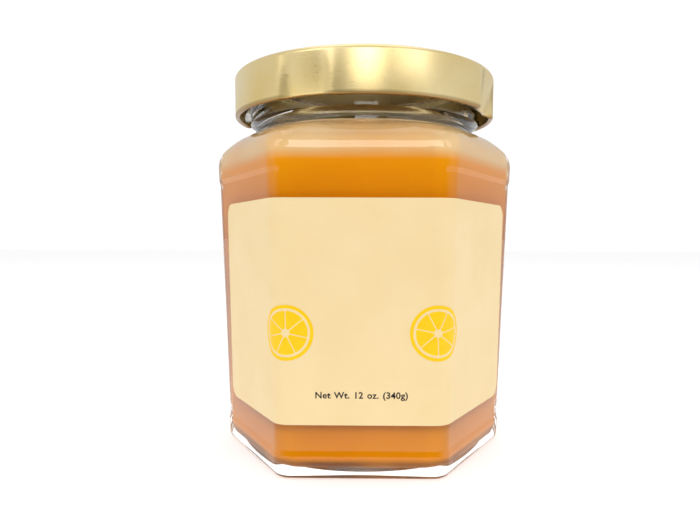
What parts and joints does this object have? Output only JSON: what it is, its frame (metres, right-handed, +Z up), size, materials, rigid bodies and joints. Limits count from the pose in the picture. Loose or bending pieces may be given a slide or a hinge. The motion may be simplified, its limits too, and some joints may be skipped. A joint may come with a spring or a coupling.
{
  "type": "honey jar",
  "caption": "Hexagonal clear glass jar of creamed honey with a froth layer, a twist-off metal lid and a wrapped paper label.",
  "frame": {"origin": "centre of the jar's base, on the surface it stands on", "axes": "+Z up along the jar's axis, the middle face of the label looks along -Y, two corners of the hexagon point along +X and -X"},
  "size_m": [0.077, 0.0678, 0.0945],
  "materials": {
    "clear_glass": "clear polished container glass",
    "creamed_honey": "opaque amber creamed honey wetting the glass",
    "honey_froth": "pale froth with fine bubbles",
    "gold_lid": "satin gold lacquer on tinplate",
    "label_paper": "smooth cream semi-gloss paper with yellow print"
  },
  "bodies": {
    "root": {"jar": "clear_glass", "honey": "creamed_honey", "froth": "honey_froth", "lid": "gold_lid", "label": "label_paper"}
  },
  "joints": []
}
